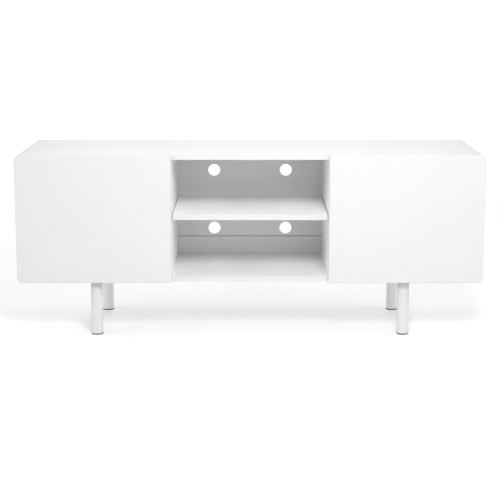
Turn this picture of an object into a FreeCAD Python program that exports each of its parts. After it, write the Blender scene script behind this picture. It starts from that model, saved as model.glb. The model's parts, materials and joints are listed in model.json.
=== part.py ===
import FreeCAD, Part
import math
import os
import re
import Sketcher

# A low, wide television stand on four round legs: an open bay with one shelf in the
# middle and a door on each side of it. The doors have no handles. Each one turns on two
# concealed cup hinges and is let out by a push latch.
#
# +X is to the right as one faces the stand, +Y is to the back, +Z is up. The origin is on
# the ground, under the middle of the stand. All sizes are millimetres.

SIZES = {
    # the whole stand
    "overall_width": 1500,
    "overall_depth": 400,
    "overall_height": 595,
    "corner_radius": 17,
    # boards
    "board": 17,
    "bay_width": 503,
    "edge_ease": 1,
    "back_board": 5,
    "back_inset": 15,
    "groove_depth": 5,
    "groove_play": 0.1,
    "tongue": 4.5,
    "seam_rise": 59.5,
    "seam_gap": 0.2,
    "seam_groove": 3,
    # cable holes in the back of the open bay
    "cable_hole": 42,
    "cable_spacing": 250,
    "cable_rise": 89,
    "cable_drop": 86,
    # shelves and their pins
    "shelf_rise": 186,
    "shelf_play": 2,
    "shelf_setback": 40,
    "shelf_pin": 5,
    "shelf_pin_length": 16,
    "pin_from_edge": 32,
    # doors
    "door_thickness": 18,
    "door_gap": 2,
    "door_reveal": 1,
    "door_corner": 7,
    "door_edge": 3,
    # cup hinges
    "hinge_inset": 80,
    "cup_diameter": 35,
    "cup_margin": 3,
    "cup_depth": 13,
    "cup_wall": 0.7,
    "flange_thickness": 1,
    "flange_overlap": 2,
    "flange_width": 16,
    "flange_length": 58,
    "cup_screw_offset": 5.5,
    "cup_screw_spacing": 46,
    "pivot_side": 7.5,
    "pivot_depth": 9,
    "pivot_pin": 3,
    "pivot_pin_length": 19.6,
    "knuckle": 5.5,
    "knuckle_width": 8,
    "running_play": 0.05,
    "arm_thickness": 2,
    "arm_width": 16,
    "plate_thickness": 2,
    "plate_front": 20,
    "plate_length": 38,
    "plate_height": 48,
    "plate_screw_row": 37,
    "plate_screw_spacing": 32,
    "arm_screw_row": 48,
    # push latches
    "latch_below_top": 78,
    "latch_setback": 2,
    "latch_length": 58,
    "latch_side": 16,
    "latch_ear": 12,
    "latch_ear_thickness": 3,
    "plunger": 8,
    "plunger_length": 50,
    "plunger_gap": 0.3,
    "strike_diameter": 14,
    "strike_thickness": 1,
    # legs
    "leg_height": 180,
    "leg_diameter": 38,
    "leg_spacing": 1000,
    "leg_spacing_deep": 304,
    "leg_ease": 1.5,
    "glide_diameter": 38,
    "glide_thickness": 3,
    "leg_plate": 50,
    "leg_plate_thickness": 3,
    "leg_plate_corner": 6,
    "leg_screw_spacing": 38,
    "hanger_bolt": 8,
    "hanger_in_leg": 32,
    "hanger_in_board": 9,
    "hanger_room": 1,
    # knock-down fittings
    "cam_diameter": 15,
    "cam_depth": 12.5,
    "cam_from_end": 24,
    "cam_slot": 2,
    "cam_slot_length": 10,
    "fitting_from_edge": 50,
    "bolt_thread": 6,
    "bolt_thread_length": 11,
    "bolt_head": 6.8,
    "bolt_head_length": 7,
    "cross_hole": 7.2,
    "dowel": 8,
    "dowel_in_top": 10,
    "dowel_in_upright": 20,
    "dowel_beside_bolt": 32,
    "dowel_end_room": 0.5,
    "bore_play": 0.05,
    # screws
    "screw": 3.5,
    "screw_length": 11,
    "screw_head": 6.5,
    "screw_head_height": 1.6,
    "driver_slot": 0.8,
    "driver_slot_length": 4.4,
}

# Distances worked out from the sheet, written as expressions on its aliases.
HALF_WIDTH = "(overall_width / 2)"
BACK = "(overall_depth / 2)"
DOOR_BACK = "(door_thickness - overall_depth / 2)"
CARCASS_FRONT = "(door_thickness + door_gap - overall_depth / 2)"
CARCASS_DEPTH = "(overall_depth - door_thickness - door_gap)"
INNER_FLOOR = "(leg_height + board)"
INNER_TOP = "(overall_height - board)"
INNER_HEIGHT = "(overall_height - leg_height - 2 * board)"
SIDE_FACE = "(overall_width / 2 - board)"
BAY_FACE = "(bay_width / 2)"
DIVIDER_FACE = "(bay_width / 2 + board)"
BACK_FACE = "(overall_depth / 2 - back_inset - back_board)"
SHELF_UNDER = "(leg_height + board + shelf_rise)"
SEAM = "(leg_height + board + seam_rise)"
CUP_CENTRE = "(cup_margin + cup_diameter / 2)"
PIVOT_BACK = "(door_gap + pivot_depth)"

ALONG_Z = FreeCAD.Rotation()
ALONG_X = FreeCAD.Rotation(FreeCAD.Vector(0, 1, 0), 90)
ALONG_MINUS_X = FreeCAD.Rotation(FreeCAD.Vector(0, 1, 0), -90)
ALONG_Y = FreeCAD.Rotation(FreeCAD.Vector(1, 0, 0), -90)
ALONG_MINUS_Y = FreeCAD.Rotation(FreeCAD.Vector(1, 0, 0), 90)
UPSIDE_DOWN = FreeCAD.Rotation(FreeCAD.Vector(1, 0, 0), 180)
CLOSE = 1e-6
SIDES = ("", "-")

document = FreeCAD.newDocument("television_stand")
sheet = document.addObject("Spreadsheet::Sheet", "Sizes")
for row, (alias, value) in enumerate(SIZES.items(), start=1):
    sheet.set("A%d" % row, alias)
    sheet.set("B%d" % row, str(value))
    sheet.setAlias("B%d" % row, alias)
document.recompute()

subparts = []


# ---------------------------------------------------------------- helpers

def bind(thing, expressions):
    """Bind properties to expressions in which every word is an alias of the sheet."""
    for path, text in expressions.items():
        thing.setExpression(path, re.sub(r"[a-z][a-z_]+", r"Sizes.\g<0>", text))


def place(thing, position, rotation=ALONG_Z):
    thing.Placement = FreeCAD.Placement(FreeCAD.Vector(), rotation)
    axes = (".Placement.Base.x", ".Placement.Base.y", ".Placement.Base.z")
    bind(thing, dict(zip(axes, position)))
    return thing


def box(name, corner, size):
    block = document.addObject("Part::Box", name)
    bind(block, dict(zip(("Length", "Width", "Height"), size)))
    return place(block, corner)


def cylinder(name, diameter, length, base=("0", "0", "0"), rotation=ALONG_Z):
    rod = document.addObject("Part::Cylinder", name)
    bind(rod, {"Radius": "(%s) / 2" % diameter, "Height": length})
    return place(rod, base, rotation)


def fused(name, *shapes):
    whole = document.addObject("Part::MultiFuse", name)
    whole.Shapes = list(shapes)
    return whole


def cut(name, base, tool):
    rest = document.addObject("Part::Cut", name)
    rest.Base = base
    rest.Tool = tool
    return rest


def common(name, first, second):
    shared = document.addObject("Part::Common", name)
    shared.Base = first
    shared.Tool = second
    return shared


def together(name, members):
    group = document.addObject("Part::Compound", name)
    group.Links = members
    return group


def scattered(name, master, places):
    """Copies of one object, as linked solids, at (x, y, z, rotation) places."""
    copies = []
    for number, (x, y, z, rotation) in enumerate(places, start=1):
        copy = document.addObject("App::Link", "%s_%d" % (name, number))
        copy.LinkedObject = master
        copy.LinkTransform = True
        copies.append(place(copy, (x, y, z), rotation))
    return together(name, copies)


def mirrored(name, source):
    """The left-hand piece that matches a right-hand one."""
    image = document.addObject("Part::Mirroring", name)
    image.Source = source
    image.Normal = FreeCAD.Vector(1, 0, 0)
    return image


def keep(thing, label):
    thing.Label = label
    subparts.append(thing)


def new_body(name):
    return document.addObject("PartDesign::Body", name)


def origin_plane(body, role):
    return next(plane for plane in body.Origin.OriginFeatures if plane.Role == role)


def eased(body, base, name, radius, chosen):
    """Round the edges of base for which chosen(edge box, body box) is true."""
    document.recompute()
    bounds = base.Shape.BoundBox
    edges = enumerate(base.Shape.Edges, start=1)
    names = ["Edge%d" % number for number, edge in edges if chosen(edge.BoundBox, bounds)]
    fillet = body.newObject("PartDesign::Fillet", name)
    fillet.Base = (base, names)
    bind(fillet, {"Radius": radius})
    return fillet


def on_front(edge, whole):
    return edge.YMax - whole.YMin < CLOSE


def on_back(edge, whole):
    return whole.YMax - edge.YMin < CLOSE


def front_along_z(edge, whole):
    return on_front(edge, whole) and edge.ZLength > edge.XLength


def front_along_x(edge, whole):
    return on_front(edge, whole) and edge.XLength > edge.ZLength


def board(name, corner, size, front_edges):
    """A rectangular board with its exposed front edges eased."""
    body = place(new_body(name), corner)
    block = body.newObject("PartDesign::AdditiveBox", name + "_block")
    bind(block, dict(zip(("Length", "Width", "Height"), size)))
    eased(body, block, name + "_edges", "edge_ease", front_edges)
    return body


# ---------------------------------------------------------------- fitting places

def both_ends(x, y):
    """The two ends of an upright: its top end points up, its bottom end points down."""
    yield (x, y, INNER_TOP, ALONG_Z)
    yield (x, y, INNER_FLOOR, UPSIDE_DOWN)


UPRIGHTS = ["%s%s" % (sign, middle) for sign in SIDES
            for middle in ("(overall_width / 2 - board / 2)", "(bay_width / 2 + board / 2)")]
BOLT_ROWS = (CARCASS_FRONT + " + fitting_from_edge", BACK + " - fitting_from_edge - back_inset - back_board")
DOWEL_ROWS = (BOLT_ROWS[0] + " + dowel_beside_bolt", BOLT_ROWS[1] + " - dowel_beside_bolt")
BOLT_PLACES = [end for x in UPRIGHTS for y in BOLT_ROWS for end in both_ends(x, y)]
DOWEL_PLACES = [end for x in UPRIGHTS for y in DOWEL_ROWS for end in both_ends(x, y)]

# A cam is let into the face of an upright that looks into a side bay.
CAM_FACES = ((SIDE_FACE, ALONG_X), ("-" + SIDE_FACE, ALONG_MINUS_X),
             (DIVIDER_FACE, ALONG_MINUS_X), ("-" + DIVIDER_FACE, ALONG_X))
CAM_LEVELS = (INNER_TOP + " - cam_from_end", INNER_FLOOR + " + cam_from_end")
CAM_PLACES = [(x, y, z, rotation) for x, rotation in CAM_FACES
              for y in BOLT_ROWS for z in CAM_LEVELS]

# Shelf pins stand in the faces on both sides of a shelf, a little in from its ends.
PIN_LEVEL = SHELF_UNDER + " - shelf_pin / 2"
PIN_BACK = BACK_FACE + " - pin_from_edge"
CENTRE_PIN_ROWS = (CARCASS_FRONT + " + pin_from_edge", PIN_BACK)
SIDE_PIN_ROWS = (CARCASS_FRONT + " + shelf_setback + pin_from_edge / 2", PIN_BACK + " - pin_from_edge")
CENTRE_PIN_FACES = ((BAY_FACE, ALONG_X), ("-" + BAY_FACE, ALONG_MINUS_X))
PIN_PLACES = [(x, y, PIN_LEVEL, rotation) for x, rotation in CENTRE_PIN_FACES for y in CENTRE_PIN_ROWS]
PIN_PLACES += [(x, y, PIN_LEVEL, rotation) for x, rotation in CAM_FACES for y in SIDE_PIN_ROWS]

# The right-hand hinges. Their own origin is the side's outer face at the carcass front.
HINGE_LEVELS = ("leg_height + hinge_inset", "overall_height - hinge_inset")
HINGE_PLACES = [(HALF_WIDTH, CARCASS_FRONT, z, ALONG_Z) for z in HINGE_LEVELS]

LATCH_X = DIVIDER_FACE + " + latch_side / 2"
LATCH_Z = INNER_TOP + " - latch_below_top"
LATCH_FRONT = CARCASS_FRONT + " + latch_setback"

LEG_CORNERS = {"front_left": ("-", "-"), "front_right": ("", "-"),
               "rear_left": ("-", ""), "rear_right": ("", "")}
LEG_PLACES = {name: ("%s(leg_spacing / 2)" % x, "%s(leg_spacing_deep / 2)" % y)
              for name, (x, y) in LEG_CORNERS.items()}


# ---------------------------------------------------------------- fasteners

def screw_master():
    """A pan-head screw. The underside of the head is at its origin, the point at -Z."""
    head = cylinder("screw_head_disc", "screw_head", "screw_head_height")
    shank = cylinder("screw_shank", "screw", "screw_length", ("0", "0", "-screw_length"))
    solid = fused("screw_solid", head, shank)
    slot = box("screw_slot", ("-driver_slot_length / 2", "-driver_slot / 2", "screw_head_height / 2"),
               ("driver_slot_length", "driver_slot", "screw_head_height"))
    return cut("screw_whole", solid, slot)


def cam_bolt_master():
    """A bolt with its thread in the outer board (+Z) and its head in the cam (-Z)."""
    thread = cylinder("bolt_shank", "bolt_thread", "bolt_thread_length + cam_from_end",
                      ("0", "0", "-cam_from_end"))
    head = cylinder("bolt_head_end", "bolt_head", "bolt_head_length",
                    ("0", "0", "-cam_from_end - bolt_head_length / 2"))
    return fused("bolt_whole", thread, head)


def cam_bolt_bore():
    thread = cylinder("bolt_bore_thread", "bolt_thread + 2 * bore_play", "bolt_thread_length + bore_play")
    passage = cylinder("bolt_bore_passage", "cross_hole", "cam_from_end", ("0", "0", "-cam_from_end"))
    return fused("bolt_bore", thread, passage)


def cam_master():
    """A cam nut let in along +Z, drilled across for the bolt, with a driver slot."""
    drum = cylinder("cam_drum", "cam_diameter", "cam_depth")
    cross = cylinder("cam_cross_hole", "cross_hole", "cam_diameter * 2",
                     ("-cam_diameter", "0", "board / 2"), ALONG_X)
    slot = box("cam_driver_slot", ("-cam_slot_length / 2", "-cam_slot / 2", "0"),
               ("cam_slot_length", "cam_slot", "cam_slot"))
    return cut("cam_whole", drum, fused("cam_cuts", cross, slot))


def bore(name, diameter, length, base=("0", "0", "0"), rotation=ALONG_Z):
    return cylinder(name, diameter + " + 2 * bore_play", length, base, rotation)


screw = screw_master()
cam_bores = scattered("cam_bores", bore("cam_bore", "cam_diameter", "cam_depth + bore_play"), CAM_PLACES)
bolt_bores = scattered("bolt_bores", cam_bolt_bore(), BOLT_PLACES)
dowel_bore = bore("dowel_bore", "dowel", "dowel_in_top + dowel_in_upright + 2 * dowel_end_room",
                  ("0", "0", "-dowel_in_upright - dowel_end_room"))
dowel_bores = scattered("dowel_bores", dowel_bore, DOWEL_PLACES)
pin_bores = scattered("pin_bores", bore("pin_bore", "shelf_pin", "shelf_pin_length / 2 + bore_play"),
                      PIN_PLACES)

keep(scattered("cam_bolt_set", cam_bolt_master(), BOLT_PLACES), "cam_bolts")
keep(scattered("cam_nut_set", cam_master(), CAM_PLACES), "cam_nuts")
dowel = cylinder("dowel_rod", "dowel", "dowel_in_top + dowel_in_upright", ("0", "0", "-dowel_in_upright"))
keep(scattered("dowel_set", dowel, DOWEL_PLACES), "dowels")
shelf_pin = cylinder("shelf_pin_rod", "shelf_pin", "shelf_pin_length", ("0", "0", "-shelf_pin_length / 2"))
keep(scattered("shelf_pin_set", shelf_pin, PIN_PLACES), "shelf_pins")


# ---------------------------------------------------------------- screw places

PLATE_SCREW_Y = CARCASS_FRONT + " + plate_screw_row"
ARM_SCREW_Y = CARCASS_FRONT + " + arm_screw_row"
PLATE_TOP = SIDE_FACE + " - plate_thickness"
ARM_TOP = PLATE_TOP + " - arm_thickness"
PLATE_SCREW_PLACES = []
ARM_SCREW_PLACES = []
for sign, outward in zip(SIDES, (ALONG_MINUS_X, ALONG_X)):
    for level in HINGE_LEVELS:
        ARM_SCREW_PLACES.append(("%s(%s)" % (sign, ARM_TOP), ARM_SCREW_Y, level, outward))
        for end in (" - plate_screw_spacing / 2", " + plate_screw_spacing / 2"):
            PLATE_SCREW_PLACES.append(("%s(%s)" % (sign, PLATE_TOP), PLATE_SCREW_Y, level + end, outward))

CUP_SCREW_PLACES = []
for level in HINGE_LEVELS:
    for end in (" - cup_screw_spacing / 2", " + cup_screw_spacing / 2"):
        CUP_SCREW_PLACES.append((HALF_WIDTH + " - " + CUP_CENTRE + " - cup_screw_offset",
                                 DOOR_BACK + " + flange_thickness", level + end, ALONG_Y))

LATCH_EAR_FACE = DIVIDER_FACE + " + latch_ear_thickness"
LATCH_SCREW_PLACES = []
for sign, outward in zip(SIDES, (ALONG_X, ALONG_MINUS_X)):
    for end in (" - latch_side / 2 - latch_ear / 2", " + latch_side / 2 + latch_ear / 2"):
        LATCH_SCREW_PLACES.append(("%s(%s)" % (sign, LATCH_EAR_FACE), LATCH_FRONT + " + latch_length / 2",
                                   LATCH_Z + end, outward))

LEG_SCREW_PLACES = []
for x, y in LEG_PLACES.values():
    for across in (" - leg_screw_spacing / 2", " + leg_screw_spacing / 2"):
        for along in (" - leg_screw_spacing / 2", " + leg_screw_spacing / 2"):
            LEG_SCREW_PLACES.append((x + across, y + along, "leg_height - leg_plate_thickness",
                                     UPSIDE_DOWN))

screw_pilot = cylinder("screw_pilot", "screw", "screw_length", ("0", "0", "-screw_length"))
pilots = [scattered("side_pilots", screw_pilot, PLATE_SCREW_PLACES + ARM_SCREW_PLACES),
          scattered("latch_pilots", screw_pilot, LATCH_SCREW_PLACES),
          scattered("leg_pilots", screw_pilot, LEG_SCREW_PLACES)]
door_pilots = scattered("door_pilots", screw_pilot, CUP_SCREW_PLACES)

keep(scattered("plate_screw_set", screw, PLATE_SCREW_PLACES), "hinge_plate_screws")
keep(scattered("arm_screw_set", screw, ARM_SCREW_PLACES), "hinge_arm_screws")
keep(scattered("latch_screw_set", screw, LATCH_SCREW_PLACES), "latch_screws")
keep(scattered("leg_screw_set", screw, LEG_SCREW_PLACES), "leg_plate_screws")
right_cup_screws = scattered("cup_screw_set", screw, CUP_SCREW_PLACES)
keep(right_cup_screws, "right_cup_screws")
keep(mirrored("cup_screw_set_left", right_cup_screws), "left_cup_screws")


# ---------------------------------------------------------------- carcass

hanger_bore = cylinder("hanger_bore", "hanger_bolt + 2 * hanger_room", "hanger_in_board + hanger_room")
hanger_bores = scattered("hanger_bores", hanger_bore,
                         [(x, y, "leg_height", ALONG_Z) for x, y in LEG_PLACES.values()])


def groove(name, left_face, width):
    """The space that one bay's back board and its grooves take up, all round the bay."""
    return box(name, (left_face + " - groove_depth", BACK_FACE + " - groove_play",
                      INNER_FLOOR + " - groove_depth"),
               (width + " + 2 * groove_depth", "back_board + 2 * groove_play",
                INNER_HEIGHT + " + 2 * groove_depth"))


SIDE_BAY_WIDTH = SIDE_FACE + " - " + DIVIDER_FACE
grooves = together("grooves", [groove("bay_groove", "-" + BAY_FACE, "bay_width"),
                               groove("right_groove", DIVIDER_FACE, SIDE_BAY_WIDTH),
                               groove("left_groove", "-" + SIDE_FACE, SIDE_BAY_WIDTH)])
carcass_cuts = together("carcass_cuts", [cam_bores, bolt_bores, dowel_bores, pin_bores,
                                         hanger_bores, grooves] + pilots)


def half_round_profile(body):
    """The front outline of a wide board whose two ends are quarter rounds."""
    sketch = body.newObject("Sketcher::SketchObject", body.Name + "_outline")
    sketch.AttachmentSupport = [(origin_plane(body, "XZ_Plane"), "")]
    sketch.MapMode = "FlatFace"
    half = SIZES["overall_width"] / 2
    radius = SIZES["corner_radius"]
    centre = FreeCAD.Vector(half - radius, 0, 0)
    quarter = FreeCAD.Vector(0, radius, 0)
    up = FreeCAD.Vector(0, 0, 1)
    turn = math.pi / 2
    sketch.addGeometry([
        Part.LineSegment(FreeCAD.Vector(-half, 0, 0), FreeCAD.Vector(half, 0, 0)),
        Part.ArcOfCircle(Part.Circle(centre, up, radius), 0, turn),
        Part.LineSegment(centre + quarter, -centre + quarter),
        Part.ArcOfCircle(Part.Circle(-centre, up, radius), turn, 2 * turn),
    ], False)
    for first, second in ((0, 1), (1, 2), (2, 3), (3, 0)):
        sketch.addConstraint(Sketcher.Constraint("Coincident", first, 2, second, 1))
    sketch.addConstraint([
        Sketcher.Constraint("PointOnObject", 0, 1, -1),
        Sketcher.Constraint("Symmetric", 0, 1, 0, 2, -2),
        Sketcher.Constraint("PointOnObject", 1, 3, 0),
        Sketcher.Constraint("PointOnObject", 3, 3, 0),
        Sketcher.Constraint("Vertical", 1, 3, 1, 2),
        Sketcher.Constraint("Vertical", 3, 3, 3, 1),
    ])
    width = sketch.addConstraint(Sketcher.Constraint("DistanceX", 0, 1, 0, 2, 2 * half))
    bind(sketch, {"Constraints[%d]" % width: "overall_width"})
    for arc in (1, 3):
        size = sketch.addConstraint(Sketcher.Constraint("Radius", arc, radius))
        bind(sketch, {"Constraints[%d]" % size: "corner_radius"})
    return sketch


def wide_board(name, level, rotation):
    """The top or the bottom: a board with quarter-round ends that meet the sides."""
    body = new_body(name)
    pad = body.newObject("PartDesign::Pad", name + "_pad")
    pad.Profile = half_round_profile(body)
    pad.Reversed = True
    bind(pad, {"Length": CARCASS_DEPTH})
    eased(body, pad, name + "_ease", "edge_ease",
          lambda edge, whole: on_front(edge, whole) or on_back(edge, whole))
    return place(body, ("0", CARCASS_FRONT if rotation is ALONG_Z else BACK, level), rotation)


top_blank = wide_board("top_blank", INNER_TOP, ALONG_Z)
bottom_blank = wide_board("bottom_blank", INNER_FLOOR, UPSIDE_DOWN)
keep(cut("top", top_blank, carcass_cuts), "top_panel")
keep(cut("bottom", bottom_blank, carcass_cuts), "bottom_panel")

upright_size = ("board", CARCASS_DEPTH, INNER_HEIGHT)
uprights = {"left_side_panel": "-" + HALF_WIDTH, "right_side_panel": SIDE_FACE,
            "left_divider": "-" + DIVIDER_FACE, "right_divider": BAY_FACE}
for label, x in uprights.items():
    blank = board(label + "_blank", (x, CARCASS_FRONT, INNER_FLOOR), upright_size, front_along_z)
    keep(cut(label + "_cut", blank, carcass_cuts), label)

# Back boards: the open bay has an upper board and a low strip, with a half-round groove
# run along their seam. Each side bay has one board.
bay_back_width = "bay_width + 2 * tongue"
bay_back_x = "-%s - tongue" % BAY_FACE
cable_x = ("-cable_spacing / 2", "cable_spacing / 2")
cable_z = (INNER_FLOOR + " + cable_rise", INNER_TOP + " - cable_drop")
cable_cutter = cylinder("cable_cutter", "cable_hole", "back_board * 3", ("0", "0", "-back_board"), ALONG_Z)
cable_holes = scattered("cable_holes", cable_cutter,
                        [(x, BACK_FACE, z, ALONG_Y) for x in cable_x for z in cable_z])
seam_groove = cylinder("seam_groove_cutter", "seam_groove", bay_back_width,
                       (bay_back_x, BACK_FACE, SEAM), ALONG_X)
bay_back = box("bay_back_blank", (bay_back_x, BACK_FACE, SEAM + " + seam_gap / 2"),
               (bay_back_width, "back_board", INNER_TOP + " + tongue - " + SEAM + " - seam_gap / 2"))
keep(cut("bay_back", bay_back, together("bay_back_cuts", [cable_holes, seam_groove])), "centre_back_panel")
low_strip = box("bay_back_low_blank", (bay_back_x, BACK_FACE, INNER_FLOOR + " - tongue"),
                (bay_back_width, "back_board", "seam_rise - seam_gap / 2 + tongue"))
keep(cut("bay_back_low", low_strip, seam_groove), "centre_back_strip")
right_back = box("right_back", (DIVIDER_FACE + " - tongue", BACK_FACE, INNER_FLOOR + " - tongue"),
                 (SIDE_BAY_WIDTH + " + 2 * tongue", "back_board", INNER_HEIGHT + " + 2 * tongue"))
keep(right_back, "right_back_panel")
keep(mirrored("left_back", right_back), "left_back_panel")

keep(board("centre_shelf_board", ("shelf_play - " + BAY_FACE, CARCASS_FRONT, SHELF_UNDER),
           ("bay_width - 2 * shelf_play", BACK_FACE + " - shelf_play - " + CARCASS_FRONT, "board"),
           front_along_x), "centre_shelf")
right_shelf = board("side_shelf_board", (DIVIDER_FACE + " + shelf_play", CARCASS_FRONT + " + shelf_setback",
                                         SHELF_UNDER),
                    (SIDE_BAY_WIDTH + " - 2 * shelf_play",
                     BACK_FACE + " - shelf_play - shelf_setback - " + CARCASS_FRONT, "board"), front_along_x)
keep(right_shelf, "right_shelf")
keep(mirrored("side_shelf_board_left", right_shelf), "left_shelf")


# ---------------------------------------------------------------- legs

def leg(name, x, y):
    """A plain round leg with softened rims, drilled from above for its bolt."""
    body = new_body(name + "_body")
    round_bar = body.newObject("PartDesign::AdditiveCylinder", name + "_bar")
    bind(round_bar, {"Radius": "leg_diameter / 2",
                     "Height": "leg_height - leg_plate_thickness - glide_thickness"})
    eased(body, round_bar, name + "_rims", "leg_ease",
          lambda edge, whole: edge.ZLength < CLOSE)
    place(body, (x, y, "glide_thickness"))
    hole = cylinder(name + "_bore", "hanger_bolt + 2 * bore_play", "hanger_in_leg",
                    (x, y, "leg_height - leg_plate_thickness - hanger_in_leg"))
    return cut(name, body, hole)


for corner_name, (x, y) in LEG_PLACES.items():
    keep(leg(corner_name + "_leg_round", x, y), corner_name + "_leg")

leg_grid = [(x, y, "0", ALONG_Z) for x, y in LEG_PLACES.values()]
keep(scattered("glide_set", cylinder("glide", "glide_diameter", "glide_thickness"), leg_grid), "leg_glides")
hanger = cylinder("hanger", "hanger_bolt", "hanger_in_leg + leg_plate_thickness + hanger_in_board",
                  ("0", "0", "leg_height - leg_plate_thickness - hanger_in_leg"))
keep(scattered("hanger_set", hanger, leg_grid), "hanger_bolts")


def leg_plate_master():
    """A square steel plate with round corners, tapped for the leg and drilled for screws."""
    body = new_body("leg_plate_body")
    block = body.newObject("PartDesign::AdditiveBox", "leg_plate_block")
    bind(block, {"Length": "leg_plate", "Width": "leg_plate", "Height": "leg_plate_thickness"})
    eased(body, block, "leg_plate_corners", "leg_plate_corner",
          lambda edge, whole: edge.XLength < CLOSE and edge.YLength < CLOSE)
    place(body, ("-leg_plate / 2", "-leg_plate / 2", "leg_height - leg_plate_thickness"))
    corners = [("%s(leg_screw_spacing / 2)" % x, "%s(leg_screw_spacing / 2)" % y,
                "leg_height - leg_plate_thickness", UPSIDE_DOWN) for x in SIDES for y in SIDES]
    holes = scattered("leg_plate_holes", screw_pilot, corners)
    tapped = cylinder("leg_plate_thread", "hanger_bolt + 2 * bore_play", "leg_plate_thickness",
                      ("0", "0", "leg_height - leg_plate_thickness"))
    return cut("leg_plate_whole", body, together("leg_plate_cuts", [holes, tapped]))


keep(scattered("leg_plate_set", leg_plate_master(), leg_grid), "leg_plates")


# ---------------------------------------------------------------- doors

def door_blank():
    """The right door: a slab that covers the carcass front, all its edges rounded."""
    body = new_body("door_body")
    sketch = body.newObject("Sketcher::SketchObject", "door_outline")
    sketch.AttachmentSupport = [(origin_plane(body, "XZ_Plane"), "")]
    sketch.MapMode = "FlatFace"
    bind(sketch, {".AttachmentOffset.Base.z": "overall_depth / 2 - door_thickness"})
    left = SIZES["bay_width"] / 2 + SIZES["door_reveal"]
    right = SIZES["overall_width"] / 2
    low = SIZES["leg_height"]
    high = SIZES["overall_height"]
    corners = [FreeCAD.Vector(x, z, 0) for x, z in ((left, low), (right, low), (right, high), (left, high))]
    for number in range(4):
        sketch.addGeometry(Part.LineSegment(corners[number], corners[(number + 1) % 4]), False)
    for number in range(4):
        sketch.addConstraint(Sketcher.Constraint("Coincident", number, 2, (number + 1) % 4, 1))
    for number, kind in enumerate(("Horizontal", "Vertical", "Horizontal", "Vertical")):
        sketch.addConstraint(Sketcher.Constraint(kind, number))
    reach = ((("DistanceX", 0, 1, left), BAY_FACE + " + door_reveal"),
             (("DistanceY", 0, 1, low), "leg_height"),
             (("DistanceX", 2, 1, right), HALF_WIDTH),
             (("DistanceY", 2, 1, high), "overall_height"))
    for arguments, text in reach:
        index = sketch.addConstraint(Sketcher.Constraint(*arguments))
        bind(sketch, {"Constraints[%d]" % index: text})
    pad = body.newObject("PartDesign::Pad", "door_slab")
    pad.Profile = sketch
    bind(pad, {"Length": "door_thickness"})
    outer = eased(body, pad, "door_outer_corners", "corner_radius",
                  lambda edge, whole: edge.YLength > CLOSE and whole.XMax - edge.XMin < CLOSE)
    inner = eased(body, outer, "door_inner_corners", "door_corner",
                  lambda edge, whole: edge.YLength > CLOSE and edge.XMax - whole.XMin < CLOSE)
    eased(body, inner, "door_edges", "door_edge",
          lambda edge, whole: on_front(edge, whole) or on_back(edge, whole))
    return body


cup_bore = bore("cup_bore", "cup_diameter", "cup_depth + bore_play",
                ("-" + CUP_CENTRE, "-door_gap", "0"), ALONG_MINUS_Y)
cup_bores = scattered("cup_bores", cup_bore, HINGE_PLACES)
right_door = cut("door", door_blank(), together("door_cuts", [cup_bores, door_pilots]))
keep(right_door, "right_door")
keep(mirrored("door_left", right_door), "left_door")

right_strike = cylinder("strike", "strike_diameter", "strike_thickness",
                        (LATCH_X, DOOR_BACK, LATCH_Z), ALONG_Y)
keep(right_strike, "right_strike_plate")
keep(mirrored("strike_left", right_strike), "left_strike_plate")


# ---------------------------------------------------------------- hinges

PIVOT_X = "-pivot_side"
PIVOT_Y = "-" + PIVOT_BACK
ARM_X = "-(board + plate_thickness + arm_thickness)"


def cup_master():
    """The cup let into the door, with a flange that is cut off behind the pivot."""
    centre = "-" + CUP_CENTRE
    outside = cylinder("cup_outside", "cup_diameter", "cup_depth", (centre, "-door_gap", "0"), ALONG_MINUS_Y)
    disc = cylinder("cup_disc", "cup_diameter + 2 * flange_overlap", "flange_thickness",
                    (centre, "-door_gap", "0"), ALONG_Y)
    bar = box("cup_bar", (centre + " - cup_screw_offset - flange_width / 2", "-door_gap",
                          "-flange_length / 2"),
              ("flange_width", "flange_thickness", "flange_length"))
    trim = box("cup_trim", ("-pivot_side - cup_diameter * 2", "-door_gap", "-flange_length"),
               ("cup_diameter * 2", "flange_thickness", "2 * flange_length"))
    flange = common("cup_flange", fused("cup_flange_whole", disc, bar), trim)
    hollow = cylinder("cup_hollow", "cup_diameter - 2 * cup_wall", "cup_depth - cup_wall + flange_thickness",
                      (centre, "flange_thickness - door_gap", "0"), ALONG_MINUS_Y)
    pin_hole = cylinder("cup_pin_hole", "pivot_pin", "pivot_pin_length",
                        (PIVOT_X, PIVOT_Y, "-pivot_pin_length / 2"))
    holes = [cylinder("cup_screw_hole_" + side, "screw", "flange_thickness",
                      (centre + " - cup_screw_offset", "-door_gap", sign + "cup_screw_spacing / 2"), ALONG_Y)
             for side, sign in (("high", ""), ("low", "-"))]
    return cut("cup_whole", fused("cup_solid", outside, flange),
               together("cup_cuts", [hollow, pin_hole] + holes))


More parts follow.
